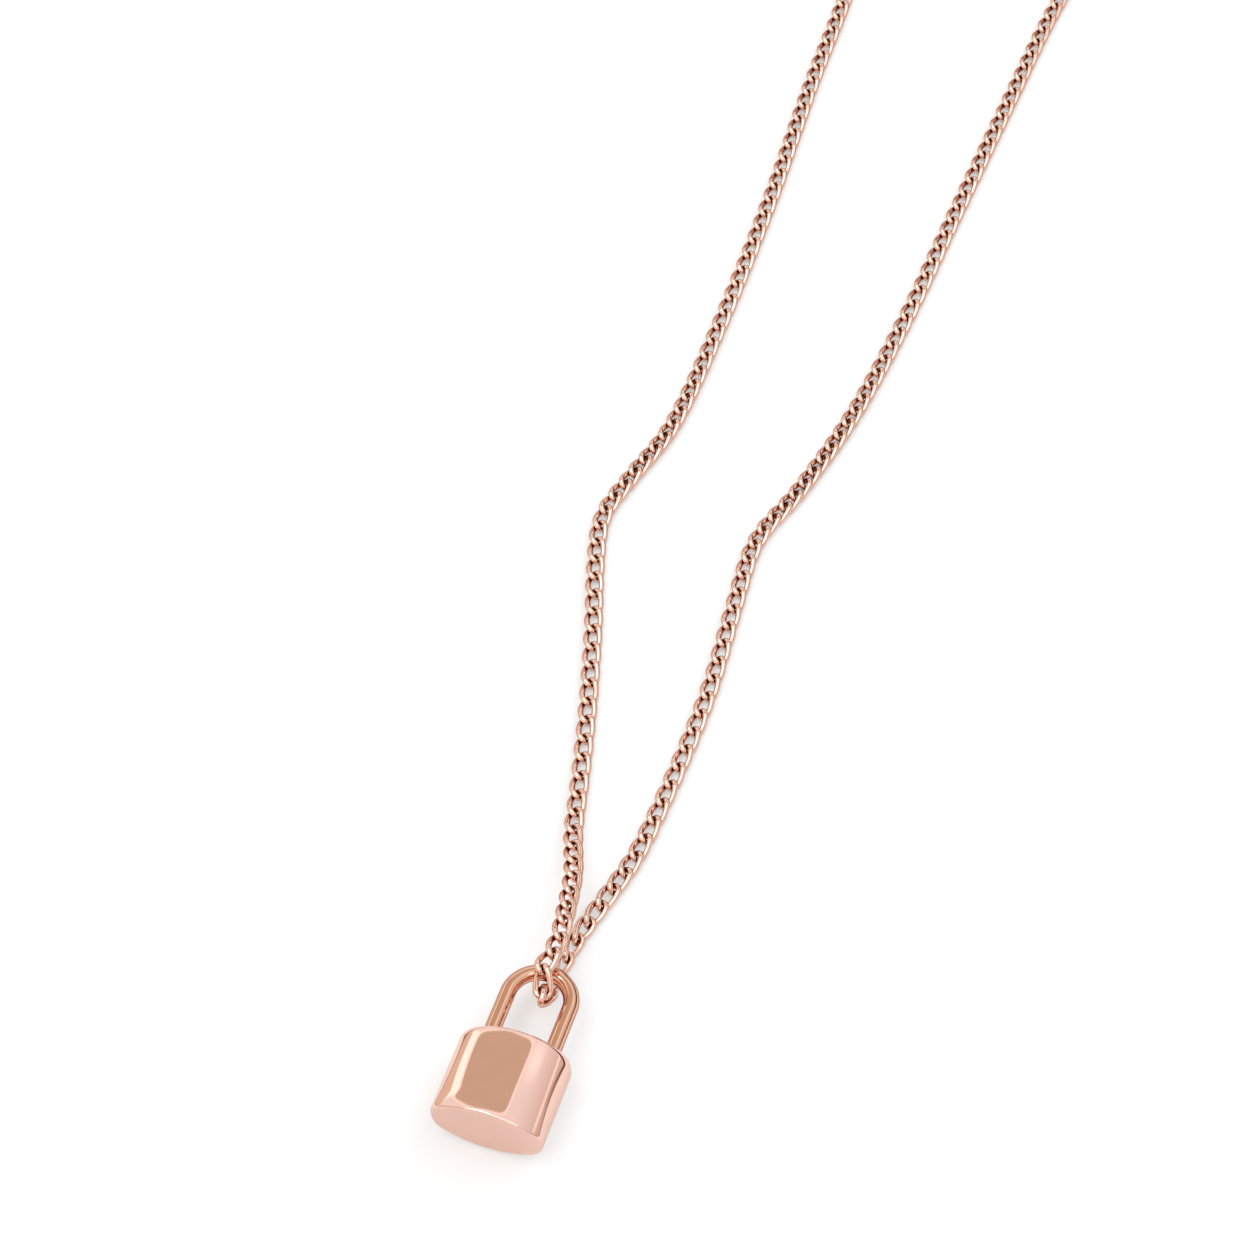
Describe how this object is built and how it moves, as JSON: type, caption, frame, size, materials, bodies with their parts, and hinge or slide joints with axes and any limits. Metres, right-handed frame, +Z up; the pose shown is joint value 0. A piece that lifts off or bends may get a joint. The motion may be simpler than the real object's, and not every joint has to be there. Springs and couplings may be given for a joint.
{
  "type": "padlock pendant necklace",
  "caption": "Small puffed padlock pendant with a fixed U shackle, hung on a fine curb chain that runs straight through the shackle and closes with a plain clasp.",
  "frame": {"origin": "middle of the laid-out necklace's box, on the surface that it lies on", "axes": "+X across the lock to its right, +Y from the lock's bottom through its shackle towards the clasp, +Z up from the surface"},
  "size_m": [0.0366, 0.2274, 0.0068],
  "materials": {
    "lock_plate": "mirror-polished rose-gold plate",
    "shackle_plate": "polished rose-gold plate",
    "chain_plate": "polished rose-gold plate",
    "clasp_plate": "polished rose-gold plate"
  },
  "bodies": {
    "root": {"lock_body": "lock_plate", "shackle": "shackle_plate", "chain_left": "chain_plate", "chain_right": "chain_plate", "clasp": "clasp_plate", "end_ring": "clasp_plate"}
  },
  "joints": []
}
